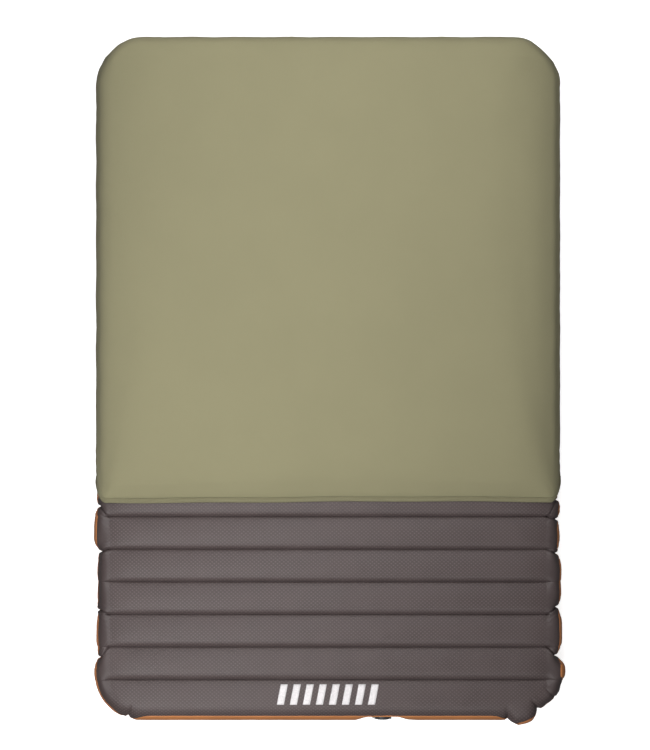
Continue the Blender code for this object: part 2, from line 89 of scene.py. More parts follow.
# The pinches of the foot part's wall, anticlockwise from the left end of the hem.
# On the sides: side, baffle whose valley runs out there, offset to the head. At
# the corners: side, None, inward from the side, inward from the foot. Then the
# pinch's depth, and the seam's angle and the swell of the lobe that follows.
SIDE_PINCHES = (
    (-1, 6, 0.027, 0, 0.015, 38, 0.001), (-1, 5, -0.008, 0, 0.016, 20, -0.009),
    (-1, 3, 0.011, 0, 0.012, 33, -0.006), (-1, 2, -0.033, 0, 0.014, 32, 0.000),
    (-1, None, 0.060, 0.002, 0.007, 49, 0.000), (1, None, 0.107, 0.000, 0.005, 36, 0.014),
    (1, None, 0.038, 0.014, 0.007, 20, -0.003), (1, None, 0.001, 0.047, 0.003, 42, 0.010),
    (1, 2, -0.028, 0, 0.016, 36, 0.001), (1, 3, 0.020, 0, 0.014, 29, -0.001),
    (1, 5, -0.014, 0, 0.013, 36, -0.006), (1, 6, -0.009, 0, 0.013, 30, -0.003),
    (1, 6, 0.046, 0, 0.010, 30, -0.004),
)
HIDDEN_DEPTH, HIDDEN_SEAM = 0.009, 30  # pinches and seam under the cover
CORNER_PINCH_WIDTH = 0.45  # next to a pinch on a side
PINCH_REACH, PINCH_POWER = 0.046, 2.4  # how far beside it a pinch draws the wall in
CREASE_SHARE, CREASE_WIDTH = 0.33, 0.0032  # the crease in the middle of a pinch
FAN_DEPTH, FAN_PERIOD, FAN_REACH = 0.0011, 0.0135, 0.020  # fine folds beside it
ROLL_RUN, ROLL_DROP, ROLL_POWER = 0.08, 0.0055, 2.5  # the crowns' fall to the wall
SQUEEZE = 0.0085  # the cover draws the wall in by this much


def smoothstep(low, high, value):
    share = np.clip((np.asarray(value, float) - low) / (high - low), 0, 1)
    return share * share * (3 - 2 * share)


def wobble(points, scale, seed):
    """Smooth noise from -1 to 1 at each point."""
    offset = Vector((seed * 7.3, seed * 3.1, seed * 5.7))
    return np.array([noise.noise(Vector(p) * scale + offset) for p in np.atleast_2d(points)])


# ---- mesh helpers ---------------------------------------------------------------


def add_object(name, data):
    made = bpy.data.objects.new(name, data)
    bpy.context.scene.collection.objects.link(made)
    return made


def make_mesh(name, points, faces, flat=None):
    """A mesh object that rides on the pad. flat holds each point's place on the
    unrolled cloth, in metres."""
    data = bpy.data.meshes.new(name)
    data.from_pydata([tuple(p) for p in points], [], [tuple(f) for f in faces])
    if flat is not None:
        corners = np.empty(len(data.loops), int)
        data.loops.foreach_get("vertex_index", corners)
        layer = data.uv_layers.new(name="cloth")
        layer.data.foreach_set("uv", np.asarray(flat, np.float32)[corners].ravel())
    data.shade_smooth()
    data.set_sharp_from_angle(angle=radians(60))
    data.update()
    made = add_object(name, data)
    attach(made, "pad")
    return made


def thicken(piece, thickness):
    """Gives a sheet its thickness, inwards from its surface."""
    wall = piece.modifiers.new("thickness", "SOLIDIFY")
    wall.thickness = thickness
    wall.offset = -1


def grid_faces(rows, columns, first=0):
    index = first + np.arange(rows * columns).reshape(rows, columns)
    a, b, c, d = index[:-1, :-1], index[:-1, 1:], index[1:, 1:], index[1:, :-1]
    return np.stack([a, b, c, d], -1).reshape(-1, 4)


def ring_faces(inner, outer, closed):
    """Faces between two rows of points, the inner one first, seen from above."""
    a, b = np.asarray(inner), np.asarray(outer)
    a2, b2 = np.roll(a, -1), np.roll(b, -1)
    faces = np.stack([a, b, b2, a2], -1)
    return faces if closed else faces[:-1]


# ---- plan of the mattress -------------------------------------------------------


def half_width(y, side):
    """Distance from the middle line to the core's edge, with its rounded corners."""
    inset = np.zeros_like(y)
    for end in (-1, 1):
        across, along, power = CORNERS[side, end]
        into = np.clip((y * end - (CORE_Y - along)) / along, 0, 1)
        inset += across * (1 - (1 - into**power) ** (1 / power))
    return CORE_X - inset


def plan_x(share, y):
    """x of a column, given its share of the half width from -1 to 1."""
    return np.where(share < 0, share * half_width(y, -1), share * half_width(y, 1))


def row_places(start, fine_until, fine_step, coarse_step):
    """y of the grid's rows, with a row on each valley and close rows at the ends."""
    turns = LONGEST_CORNER * (1 - np.cos(np.radians(np.arange(0, 91, 4.5))))
    rows = [y for turn in turns for y in (CORE_Y - turn, turn - CORE_Y) if y >= start]
    marks = [start, *[v for v in VALLEYS if v > start], CORE_Y]
    for low, high in zip(marks, marks[1:]):
        fine = low < fine_until
        step = fine_step if fine else coarse_step
        rows += list(np.linspace(low, high, max(2, round((high - low) / step) + 1)))
        if fine:
            rows += [low + 0.0010, low + 0.0022, high - 0.0010, high - 0.0022]
    return thinned(np.unique(np.round(rows, 5)), marks)


def thinned(rows, marks):
    """Drops rows that are almost on their neighbour, but no row on a mark."""
    closest, end_zone = 0.0007, 0.012
    keep = [rows[0]]
    for y in rows[1:]:
        marked = np.min(np.abs(np.array(marks) - y)) < 2e-5
        if marked and y - keep[-1] < closest:
            keep.pop()
        near_end = min(CORE_Y - y, y + CORE_Y) < end_zone
        if marked or near_end or y - keep[-1] > closest:
            keep.append(y)
    return np.array(keep)


def column_shares(step, edge_columns=11, fine=None):
    """Shares of the half width where the grid has its columns; they are closer at
    the edges, and 4 mm apart in the stretch that fine gives."""
    edge = 0.88
    shares = list(np.arange(-edge, edge, step / CORE_X))
    shares += list(np.linspace(-1, -edge, edge_columns)) + list(np.linspace(edge, 1, edge_columns))
    if fine:
        shares += list(np.arange(*fine, 0.004 / CORE_X))
    shares = np.unique(np.round(shares, 5))
    return shares[np.insert(np.diff(shares) > 0.002, 0, True)]


class Border:
    """The outline where a core grid turns down into the side wall, anticlockwise."""

    def __init__(self, points, indices, closed):
        self.indices, self.closed = np.array(indices), closed
        self.foot = points[self.indices, :2]
        if closed:
            along = np.roll(self.foot, -1, 0) - np.roll(self.foot, 1, 0)
            steps = np.linalg.norm(self.foot - np.roll(self.foot, 1, 0), axis=1)
        else:
            along = np.gradient(self.foot, axis=0)
            steps = np.linalg.norm(np.diff(self.foot, axis=0, prepend=self.foot[:1]), axis=1)
        along /= np.linalg.norm(along, axis=1)[:, None]
        self.out = np.stack([along[:, 1], -along[:, 0]], 1)
        self.place = np.cumsum(steps)
        self.length = self.place[-1] if closed else None

    def place_of(self, x, y):
        return self.place[np.argmin(np.hypot(self.foot[:, 0] - x, self.foot[:, 1] - y))]

    def distance(self, place):
        gap = self.place - place
        if self.closed:
            gap = (gap + self.length / 2) % self.length - self.length / 2
        return gap


def core_points(shares, rows):
    """Flat grid of the core as points with z 0, row by row."""
    y = np.repeat(rows, len(shares))
    x = plan_x(np.tile(shares, len(rows)), y)
    return np.stack([x, y, np.zeros_like(x)], 1)


def closed_border(points, shares, rows):
    across, along = len(shares), len(rows)
    index = np.arange(across * along).reshape(along, across)
    loop = [*index[0], *index[1:, -1], *index[-1, -2::-1], *index[-2:0:-1, 0]]
    return Border(points, loop, True)


def open_border(points, shares, rows):
    """The border without its front row, for the cover."""
    across, along = len(shares), len(rows)
    index = np.arange(across * along).reshape(along, across)
    return Border(points, [*index[:, -1], *index[-1, -2::-1], *index[-2::-1, 0]], False)


# ---- the inflated shape ---------------------------------------------------------


def tube_sag(y, crown):
    """How far a tube's skin lies below its crown, with a cusp at each valley."""
    y = np.asarray(y, float)
    above = np.min(np.where(VALLEYS >= y[..., None], VALLEYS - y[..., None], 9), axis=-1)
    below = np.min(np.where(VALLEYS <= y[..., None], y[..., None] - VALLEYS, 9), axis=-1)
    to_head = np.clip(1 - above / (crown * PITCH), 0, None)
    to_foot = np.clip(1 - below / ((1 - crown) * PITCH), 0, None)
    nose = 1 - np.sqrt(1 - np.clip(to_foot, 0, 1) ** 1.8)
    groove = 0.0010 * np.exp(-((np.minimum(above, below) / 0.0016) ** 2))
    return SAG * np.maximum(to_head**2, nose) + groove


def rolled_end(x, sag):
    """How far the crowns of the top tubes roll down before they reach the wall."""
    share = np.clip((np.abs(x) - CORE_X + ROLL_RUN) / ROLL_RUN, 0, 1) ** ROLL_POWER
    return ROLL_DROP * share * np.clip(1 - sag / SAG, 0, 1)


def pinch_ring(border):
    """The pinches of the whole wall in order along the border: place, place of the
    valley that runs out there, depth, the next lobe's seam angle and swell, width."""
    found = []
    for side, baffle, first, second, depth, seam, swell in SIDE_PINCHES:
        if baffle is None:
            place = border.place_of(side * (CORE_X - first), second - CORE_Y)
            found.append((place, place, depth, seam, swell, CORNER_PINCH_WIDTH))
        else:
            y = BAFFLES[baffle]
            found.append((border.place_of(side * CORE_X, y + first),
                          border.place_of(side * CORE_X, y), depth, seam, swell, 1.0))
    for side in (-1, 1):
        for baffle in range(8, 20, 2 if side < 0 else 3):
            y = BAFFLES[baffle]
            offset = 0.02 * noise.noise(Vector((side * 3.7, baffle * 1.9, 0.4)))
            found.append((border.place_of(side * CORE_X, y + offset),
                          border.place_of(side * CORE_X, y), HIDDEN_DEPTH, HIDDEN_SEAM, 0.0, 1.0))
    return sorted(found)


def lobe_values(border, pinches, which):
    """A value of each lobe, and how near the middle of its lobe each point is."""
    values, inside = np.zeros(len(border.place)), np.zeros(len(border.place))
    for pinch, after in zip(pinches, pinches[1:] + pinches[:1]):
        length = (after[0] - pinch[0]) % border.length
        along = (border.place - pinch[0]) % border.length
        here = along <= length
        values[here] = pinch[which]
        inside[here] = np.minimum(along, length - along)[here]
    return values, inside


def wall_dent(border, pinches, down):
    """How far the wall lies inside its full round, down metres from the crown line."""
    half = WALL * pi / 2
    from_edge = np.minimum(down, 2 * half - down)
    y = border.foot[:, 1]
    sag = np.where(down < half, tube_sag(y, TOP_CROWN), tube_sag(y, BASE_CROWN))
    dent = sag * (1 - 0.85 * smoothstep(0.002, 0.036, from_edge))
    dent = dent + rolled_end(border.foot[:, 0], sag) * (1 - smoothstep(0, 0.045, down))
    strength = smoothstep(0.008, 0.055, down) * (1 - 0.75 * smoothstep(0.105, 0.150, down))
    turn = smoothstep(0.004, 0.046, down)
    for place, valley_place, depth, _, _, width in pinches:
        shift = border.distance(valley_place) - border.distance(place)
        gap = np.abs(border.distance(place) + shift * (1 - turn)) / width
        hollow = depth * np.clip(1 - gap / PINCH_REACH, 0, None) ** PINCH_POWER
        crease = CREASE_SHARE * depth * np.exp(-((gap / CREASE_WIDTH) ** 2)) * smoothstep(0, 0.012, down)
        fan = FAN_DEPTH * np.cos(gap * 2 * pi / FAN_PERIOD) * np.exp(-gap / FAN_REACH)
        dent = dent + hollow * strength + (crease + fan) * (1 - smoothstep(0.09, 0.13, down))
    swell, inside = lobe_values(border, pinches, 4)
    covered = smoothstep(HEM_Y - 0.012, HEM_Y + 0.03, y)
    bulge = swell * smoothstep(0, 0.030, inside) * (1 - covered) - SQUEEZE * covered
    return dent - bulge * strength


def seam_angles(border, pinches):
    """Angle above the wall's middle where the two skins meet, lobe by lobe."""
    angles, inside = lobe_values(border, pinches, 3)
    angles = 12 + (angles - 12) * smoothstep(-0.004, 0.030, inside)
    for _ in range(3):
        angles = (np.roll(angles, 1) + 2 * angles + np.roll(angles, -1)) / 4
    return angles


VALVE = middle("valve_flange")
FLAT_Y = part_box("valve_flange")[1].y + 0.0003
FLAT_HALF, FLAT_FADE = 0.034, 0.075


def press_flat(points, inset):
    """Flattens the foot wall behind the valve; the flat fades out sideways."""
    share = np.clip((FLAT_FADE - np.abs(points[:, 0] - VALVE.x)) / (FLAT_FADE - FLAT_HALF), 0, 1)
    depth = np.clip(FLAT_Y + inset - points[:, 1], 0, None)
    points[:, 1] += share * depth
    return points


def wall_points(border, pinches, down, inset):
    """Points of the side wall, down metres from the crown line along the cloth."""
    angle = pi / 2 - down / WALL
    reach = WALL - inset
    dent = wall_dent(border, pinches, down)
    normal = np.column_stack([border.out * np.cos(angle)[:, None], np.sin(angle)])
    base = np.column_stack([border.foot, np.full(len(border.foot), WALL)])
    points = base + normal * (reach - dent)[:, None]
    crumple = wobble(points, 22, 1) * 0.0012 * smoothstep(0, 0.03, np.minimum(down, 0.15 - down))
    points -= normal * np.abs(crumple)[:, None]
    return press_flat(points, inset)


def crown_points(points, upward, inset):
    """Lifts the flat core grid onto the tubes of the top skin, or of the base skin,
    whose crowns are pressed flat where they rest on the ground."""
    sag = tube_sag(points[:, 1], TOP_CROWN if upward else BASE_CROWN) + inset
    pressed, softness = 0.0012, 0.0010
    if upward:
        ripple = wobble(points, 16, 2) * 0.0005
        points[:, 2] = 2 * WALL - sag - np.abs(ripple) - rolled_end(points[:, 0], sag)
    else:
        resting = np.sqrt((sag - pressed) ** 2 + softness**2)
        points[:, 2] = np.clip((sag - pressed + resting) / 2, 0.0001, None)
    return points


def wall_rings(border, pinches, start, end, count, inset):
    """Rings of wall points from start to end (metres down the cloth), with their
    flats. The base skin's start is its lower edge, so its flat runs out from there."""
    rings, flats = [], []
    from_top = start[0] < WALL
    for share in np.arange(1, count + 1) / count:
        down = start + (end - start) * share
        rings.append(wall_points(border, pinches, down, inset))
        flats.append(border.foot + border.out * (down if from_top else 2 * start - down)[:, None])
    return rings, flats


def join_rings(core, core_faces, border, rings, flats, upward):
    """One mesh from the core grid and the rings outside it."""
    points, flat, faces = [core], [core[:, :2]], [core_faces]
    previous, count = border.indices, len(core)
    for ring, ring_flat in zip(rings, flats):
        current = np.arange(count, count + len(ring))
        faces.append(ring_faces(previous, current, border.closed))
        points.append(ring)
        flat.append(ring_flat)
        previous, count = current, count + len(ring)
    faces = np.vstack(faces)
    return np.vstack(points), faces if upward else faces[:, ::-1], np.vstack(flat)


def build_top_skin():
    """The grey skin: tubes across the pad, and the upper part of the side wall."""
    shares = column_shares(0.024, 13)
    rows = row_places(-CORE_Y, HEM_Y + 0.03, 0.0027, 0.0152)
    flat_core = core_points(shares, rows)
    border = closed_border(flat_core, shares, rows)
    pinches = pinch_ring(border)
    core = crown_points(flat_core, True, LAP)
    tucked = 0.006
    end = WALL * (pi / 2 - np.radians(seam_angles(border, pinches))) + tucked
    rings, flats = wall_rings(border, pinches, np.zeros(len(end)), end, 16, LAP)
    faces = grid_faces(len(rows), len(shares))
    piece = make_mesh("top_skin", *join_rings(core, faces, border, rings, flats, True))
    thicken(piece, SKIN)
    finish_piece(piece, coated_grey(), ("top_sheet",))


def open_valve_hole(piece):
    """Takes the cloth away where the valve passes, and rounds the hole's edge."""
    bm = bmesh.new()
    bm.from_mesh(piece.data)
    hole, wall_y = 0.0216, -CORE_Y - 0.03

    def from_axis(co):
        return Vector((co.x - VALVE.x, co.z - VALVE.z))

    gone = [f for f in bm.faces if f.calc_center_median().y < wall_y
            and any(from_axis(v.co).length < hole for v in f.verts)]
    bmesh.ops.delete(bm, geom=gone, context="FACES")
    for vert in bm.verts:
        radial = from_axis(vert.co)
        if vert.is_boundary and vert.co.y < wall_y and radial.length < hole + 0.008:
            radial *= hole / radial.length
            vert.co.x, vert.co.z = VALVE.x + radial.x, VALVE.z + radial.y
    bm.to_mesh(piece.data)
    bm.free()


def build_base_skin():
    """The rust skin: tubes underneath, the side wall, and the rim that laps the top."""
    shares = column_shares(0.024, 8, fine=(0.17, 0.40))
    rows = row_places(-CORE_Y, HEM_Y, 0.0046, 0.0114)
    flat_core = core_points(shares, rows)
    border = closed_border(flat_core, shares, rows)
    pinches = pinch_ring(border)
    core = crown_points(flat_core, False, 0.0)
    bottom = np.full(len(border.place), WALL * pi)
    end = WALL * (pi / 2 - np.radians(seam_angles(border, pinches)))
    rings, flats = wall_rings(border, pinches, bottom, end, 24, 0.0)
    for ring in rings:
        ring[:, 2] = np.clip(ring[:, 2], 0.0002, None)
    faces = grid_faces(len(rows), len(shares))
    piece = make_mesh("base_skin", *join_rings(core, faces, border, rings, flats, False))
    open_valve_hole(piece)
    thicken(piece, SKIN)
    finish_piece(piece, coated_rust(), ("base_sheet",))


# ---- topper and cover -----------------------------------------------------------


def edge_fall(x):
    """How far the foam's sides are drawn down at their edges, more on the right."""
    return np.where(x > 0, 0.025, 0.019)


def cover_rise(y):
    """Share of the rise from the hem to the full height over the foam's front edge."""
    lip = np.clip((y - STITCH_Y) / FRONT_LIP_RUN, 0, 1)
    step = np.clip((y - STITCH_Y) / FRONT_RUN, 0, 1)
    return FRONT_LIP * lip * (2 - lip) + (1 - FRONT_LIP) * step * (2 - step)


def cover_height(x, y):
    """Top of the knit: low at the hem, full over the foam, and lower at the sides."""
    side = np.clip((np.abs(x) - EDGE_FROM) / (CORE_X - EDGE_FROM), 0, None)
    return HEM_TOP + (COVER_TOP - HEM_TOP - edge_fall(x) * side**EDGE_POWER) * cover_rise(y)


def cover_slope(border):
    """How steeply the top falls outwards where it turns down into the skirt."""
    x, y = border.foot.T
    side = np.clip((np.abs(x) - EDGE_FROM) / (CORE_X - EDGE_FROM), 0, None)
    fall = edge_fall(x) * EDGE_POWER * side ** (EDGE_POWER - 1) / (CORE_X - EDGE_FROM)
    return fall * cover_rise(y) * np.abs(border.out[:, 0])


def hem_drift(x):
    """How far the hem strays from its straight line."""
    return 0.0022 * np.sin(x * 4.1 + 0.6) + 0.0009 * np.sin(x * 17 + 1.1) - 0.0006


def cover_gather(border, down):
    """The gathers of the skirt, which grow towards its elastic edge."""
    place = border.place
    drift = 0.9 * np.sin(place * 5.3) + 0.6 * np.sin(place * 13.1 + 1.0)
    waves = np.sin(place * 2 * pi / 0.034 + drift) + 0.5 * np.sin(place * 2 * pi / 0.021 - drift)
    long = np.sin(place * 2 * pi / 0.145 + 0.8 * np.sin(place * 3.1))
    edge = smoothstep(0.05, 0.15, down)
    return 0.0011 * (waves + 1.5) * edge + 0.0007 * (long + 1) * smoothstep(0.01, 0.07, down)


def cover_wall(border, down, total):
    """Points of the skirt: half an oval at the sides, squarer at the head end, then
    it tucks under."""
    angle = pi / 2 - down / total * radians(90 + TUCK_ANGLE)
    top = cover_height(*border.foot.T)
    semi = np.where(angle > 0, top - WALL, COVER_REACH)
    reach = COVER_REACH - SQUEEZE + cover_gather(border, np.full(len(top), down))
    square = 1 - 0.50 * smoothstep(0.3, 1.0, border.out[:, 1])
    out = cos(angle) ** square
    rise = np.sign(angle) * abs(sin(angle)) ** square
    plan = border.foot + border.out * (reach * out)[:, None]
    fall = cover_slope(border) * COVER_REACH * out * (1 - out) ** 2 * (angle > 0)
    points = np.column_stack([plan, WALL + semi * rise - fall])
    front = np.clip(np.exp(-(points[:, 1] - HEM_Y) / 0.06), 0, 1)
    points[:, 1] += 0.075 * smoothstep(0.15, 1.0, down / total) * front
    return points


def cover_grid(rows, shares):
    points = core_points(shares, rows)
    fade = np.exp(-(points[:, 1] - HEM_Y) / 0.08)
    points[:, 2] = cover_height(points[:, 0], points[:, 1])
    border = open_border(points, shares, rows)
    points[:, 1] += hem_drift(points[:, 0]) * fade
    return points, border


def cover_shell(name, rows, shares, rings):
    """A stretch of the cover: the part over the core, and its skirt."""
    core, border = cover_grid(rows, shares)
    downs = COVER_DROP * np.arange(1, rings + 1) / rings
    walls = [cover_wall(border, down, COVER_DROP) for down in downs]
    ends = hem_drift(border.foot[:, 0]) * np.exp(-(border.foot[:, 1] - HEM_Y) / 0.08)
    for wall in walls:
        wall[:, 1] += ends
    flats = [border.foot + border.out * down for down in downs]
    faces = grid_faces(len(rows), len(shares))
    return make_mesh(name, *join_rings(core, faces, border, walls, flats, True))


def settle_cover(piece):
    """Inflates the knit a little over the foam with a cloth simulation."""
    rest = np.array([v.co for v in piece.data.vertices])
    pinned = piece.vertex_groups.new(name="held")
    low = [i for i, p in enumerate(rest) if p[2] < 0.075 or p[1] < STITCH_Y + 0.012]
    pinned.add([int(i) for i in low], 1.0, "REPLACE")
    cloth = piece.modifiers.new("cloth", "CLOTH")
    cloth.settings.quality = 4
    cloth.settings.mass = 0.25
    cloth.settings.tension_stiffness = cloth.settings.compression_stiffness = 12
    cloth.settings.bending_stiffness = 0.4
    cloth.settings.use_pressure = True
    cloth.settings.uniform_pressure_force = 4
    cloth.settings.vertex_group_mass = "held"
    cloth.settings.effector_weights.gravity = 0
    cloth.point_cache.frame_end = 20
    for step in range(1, 21):
        bpy.context.scene.frame_set(step)
    graph = bpy.context.evaluated_depsgraph_get()
    settled = piece.evaluated_get(graph).to_mesh()
    moved = np.array([v.co for v in settled.vertices]) - rest
    piece.modifiers.clear()
    bpy.context.scene.frame_set(1)
    far = np.linalg.norm(moved, axis=1)[:, None]
    capped = moved * np.minimum(1, SETTLE / np.maximum(far, 1e-9))
    piece.data.vertices.foreach_set("co", (rest + capped).astype(np.float32).ravel())
    piece.data.update()


def build_cover():
    """The knit cover over the foam, with skirts that tuck under the side wall."""
    rows = row_places(STITCH_Y, STITCH_Y + 0.05, 0.010, 0.0200)
    piece = cover_shell("cover_knit", rows, column_shares(0.020, 7), 14)
    swell = wobble([v.co for v in piece.data.vertices], 5.5, 4)
    for vert, lift in zip(piece.data.vertices, swell):
        vert.co.z += 0.0010 * lift if vert.co.z > 0.12 else 0
    settle_cover(piece)
    finer = piece.modifiers.new("finer", "SUBSURF")
    finer.levels = finer.render_levels = 1
    thicken(piece, KNIT)
    finish_piece(piece, olive_knit(), ("knit_cover",))


def build_hem():
    """The folded hem at the foot edge of the cover, from skirt to skirt. Gives back
    its lines of points, for the stitches."""
    across = np.array([0, 0.06, 0.2, 0.45, 0.7, 0.9, 1.0])
    puff = np.array([-0.0004, 0.0008, 0.0014, 0.0014, 0.0010, 0.0002, -0.0006])
    rows = HEM_Y + (STITCH_Y - HEM_Y) * across
    shares = column_shares(0.008)
    points, border = cover_grid(rows, shares)
    points[:, 2] = HEM_TOP - 0.0002 + np.repeat(puff, len(shares))
    lines = [points.reshape(len(rows), -1, 3)]
    rings = 16
    for side, column in ((1, len(shares) - 1), (-1, 0)):
        picked = [k for k, i in enumerate(border.indices) if i % len(shares) == column
                  and abs(border.foot[k, 1]) < CORE_Y - 0.2]
        picked.sort(key=lambda k: border.foot[k, 1])
        run = []
        for ring in range(1, rings + 1):
            down = COVER_DROP * ring / rings
            wall = cover_wall(border, down, COVER_DROP)[picked]
            wall[:, 1] += hem_drift(np.full(len(picked), side * CORE_X))
            wall[:, 0] += side * puff * 0.8
            run.append(wall)
        lines.append(np.stack(run, 1))
    top, right, left = lines
    strip = np.concatenate([left[:, ::-1], top, right], axis=1)
    flat = np.stack(np.meshgrid(np.arange(strip.shape[1]) * 0.008, rows), -1).reshape(-1, 2)
    piece = make_mesh("cover_fold", strip.reshape(-1, 3), grid_faces(*strip.shape[:2]), flat)
    thicken(piece, 0.0021)
    # The fold takes the darker, painted-shade copy of the knit.
    finish_piece(piece, shaded_fold_knit(), ("cover_hem",))
    return strip


def stitch_row(strip, row, name):
    """A row of thread stitches along one line of the hem, over the pad's top."""
    line = strip[row][np.abs(strip[row][:, 0]) < CORE_X - 0.02]
    steps = np.linalg.norm(np.diff(line, axis=0), axis=1)
    along = np.concatenate([[0], np.cumsum(steps)])
    pitch, length = 0.0042, 0.0031
    points, faces = [], []
    for start in np.arange(0.01, along[-1] - 0.01, pitch):
        ends = [np.array([np.interp(start + d, along, line[:, k]) for k in range(3)])
                for d in (0, length / 2, length)]
        add_thread(points, faces, ends)
    finish_piece(make_mesh(name, points, faces), olive_thread())


def add_thread(points, faces, ends):
    """One stitch: a short thread that rises between its two needle holes."""
    normal, radius = np.array([0, 0, 1.0]), 0.00038
    along = ends[2] - ends[0]
    along = along / np.linalg.norm(along)
    side = np.cross(along, normal)
    first = len(points)
    for place, rise, thick in zip(ends, (-0.3, 0.7, -0.3), (0.6, 1.0, 0.6)):
        for k in range(6):
            turn = 2 * pi * k / 6
            spoke = side * cos(turn) + normal * sin(turn)
            points.append(place + normal * radius * rise * 2 + spoke * radius * thick)
    for ring in range(2):
        for k in range(6):
            a, b = first + ring * 6 + k, first + ring * 6 + (k + 1) % 6
            faces.append((a, b, b + 6, a + 6))
    faces.append(tuple(first + k for k in range(5, -1, -1)))
    faces.append(tuple(first + 12 + k for k in range(6)))


def tube_along(name, line, radius, sides=8):
    """A round closed tube of mesh along a line of points."""
    line = np.asarray(line)
    along = np.gradient(line, axis=0)
    along /= np.linalg.norm(along, axis=1)[:, None]
    side = np.cross(along, (0, 0, 1.0))
    side /= np.linalg.norm(side, axis=1)[:, None]
    up = np.cross(side, along)
    length = np.concatenate([[0], np.cumsum(np.linalg.norm(np.diff(line, axis=0), axis=1))])
    points, flat = [], []
    for place, a, b, far in zip(line, side, up, length):
        for k in range(sides):
            turn = 2 * pi * k / sides
            points.append(place + radius * (a * cos(turn) + b * sin(turn)))
            flat.append((far, radius * turn))
    ring = np.arange(sides)
    faces = [(r * sides + k, r * sides + (k + 1) % sides, (r + 1) * sides + (k + 1) % sides,
              (r + 1) * sides + k) for r in range(len(line) - 1) for k in range(sides)]
    last = (len(line) - 1) * sides
    faces += [tuple(ring[::-1]), tuple(last + ring)]
    return make_mesh(name, points, faces, flat)


def build_skirt_edge():
    """The elastic edge of the skirt, a soft round binding with gathers."""
    rows = row_places(HEM_Y + 0.007, HEM_Y + 0.04, 0.008, 0.0150)
    _, border = cover_grid(rows, column_shares(0.030, 5))
    line = cover_wall(border, COVER_DROP, COVER_DROP)
    radius = 0.0018
    line[:, 2] -= radius
    piece = tube_along("skirt_binding", line, radius)
    finish_piece(piece, ribbed_elastic(), ("cover_elastic",))


def build_foam():
    """The foam slab: its edges rounded, its front tapered under the cover's rise."""
    low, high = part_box("foam_topper")
    slack, round_edge, knit_gap = 0.014, 0.030, 0.0022
    shares = column_shares(0.030, 7)
    rows = row_places(low.y, low.y + 0.05, 0.010, 0.030)
    plan = core_points(shares, rows)
    spread = (high.x - slack) / CORE_X
    points = plan * np.array([spread, 1, 1])
    points[:, 1] = low.y + (plan[:, 1] - low.y) * (high.y - slack - low.y) / (CORE_Y - low.y)
    half = np.where(plan[:, 0] < 0, half_width(plan[:, 1], -1), half_width(plan[:, 1], 1))
    inset = np.minimum(half - np.abs(plan[:, 0]), CORE_Y - plan[:, 1])
    bend = np.clip(round_edge - inset, 0, round_edge)
    room = cover_height(points[:, 0], points[:, 1]) - knit_gap - 0.06 * np.clip(0.090 - inset, 0, None)
    points[:, 2] = np.minimum(high.z, room - (round_edge - np.sqrt(round_edge**2 - bend**2)))
    under = points.copy()
    under[:, 2] = low.z
    count = len(points)
    faces = grid_faces(len(rows), len(shares))
    loop = closed_border(plan, shares, rows).indices
    walls = ring_faces(loop, loop + count, True)
    piece = make_mesh("foam_core", np.vstack([points, under]),
                      np.vstack([faces, faces[:, ::-1] + count, walls]))
    finish_piece(piece, open_cell_foam(), ("foam_topper",))


def build_strap(node, name):
    """A woven strap under the pad, from skirt to skirt, lying in its valley."""
    low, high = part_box(node)
    half = (high.x, CORE_X + 0.025, CORE_X, CORE_X - 0.060)
    level = (high.z - 0.0007, 0.0115, 0.0075, 0.0060)
    xs = np.linspace(0, high.x, 61)
    zs = np.interp(xs, half[::-1], level[::-1])
    kernel = np.ones(3) / 3
    zs[1:-1] = np.convolve(zs, kernel, "valid")
    xs = np.concatenate([-xs[:0:-1], xs])
    zs = np.concatenate([zs[:0:-1], zs])
    wide = (high.y - low.y) / 2
    across = np.array([-1, -0.97, -0.9, -0.5, 0, 0.5, 0.9, 0.97, 1]) * wide
    thin = np.array([-0.0004, -0.0001, 0, 0, 0, 0, 0, -0.0001, -0.0004])
    points = [(x, (low.y + high.y) / 2 + dy, z + 0.0006 + dz) for dy, dz in zip(across, thin)
              for x, z in zip(xs, zs)]
    flat = [(x, dy) for dy in across for x in xs]
    piece = make_mesh(name, points, grid_faces(len(across), len(xs)), flat)
    thicken(piece, 0.0012)
    finish_piece(piece, woven_webbing(), (node,))


def build_mark():
    """A plain row of slanted bars printed on the foot tube."""
    bars, width, height, slant = 8, 0.276, 0.056, 0.011
    ink, gap = 0.58, 0.42  # shares of the bars' pitch
    tall, wide = 13, 5  # points of each bar
    centre_y = (BAFFLES[1] - CORE_Y) / 2 - 0.006
    points, faces, flat = [], [], []
    for bar in range(bars):
        left = -width / 2 + bar * width / (bars - gap)
        for step in range(tall):
            share = step / (tall - 1)
            y = centre_y + (share - 0.5) * height
            for edge in np.linspace(0, 1, wide):
                x = left + (share - 0.5) * slant + edge * ink * width / bars
                points.append((x, y, 0))
                flat.append((x, y))
        faces += [tuple(f) for f in grid_faces(tall, wide, bar * tall * wide)]
    points = np.array(points)
    points[:, 2] = 2 * WALL - LAP - tube_sag(points[:, 1], TOP_CROWN) + 0.00025
    beyond = np.clip(-CORE_Y - points[:, 1], 0, None)
    points[:, 2] -= WALL - np.sqrt(WALL**2 - beyond**2)
    piece = make_mesh("foot_mark", points, faces, flat)
    thicken(piece, 0.00015)
    finish_piece(piece, printed_white())


# ---- node materials -------------------------------------------------------------


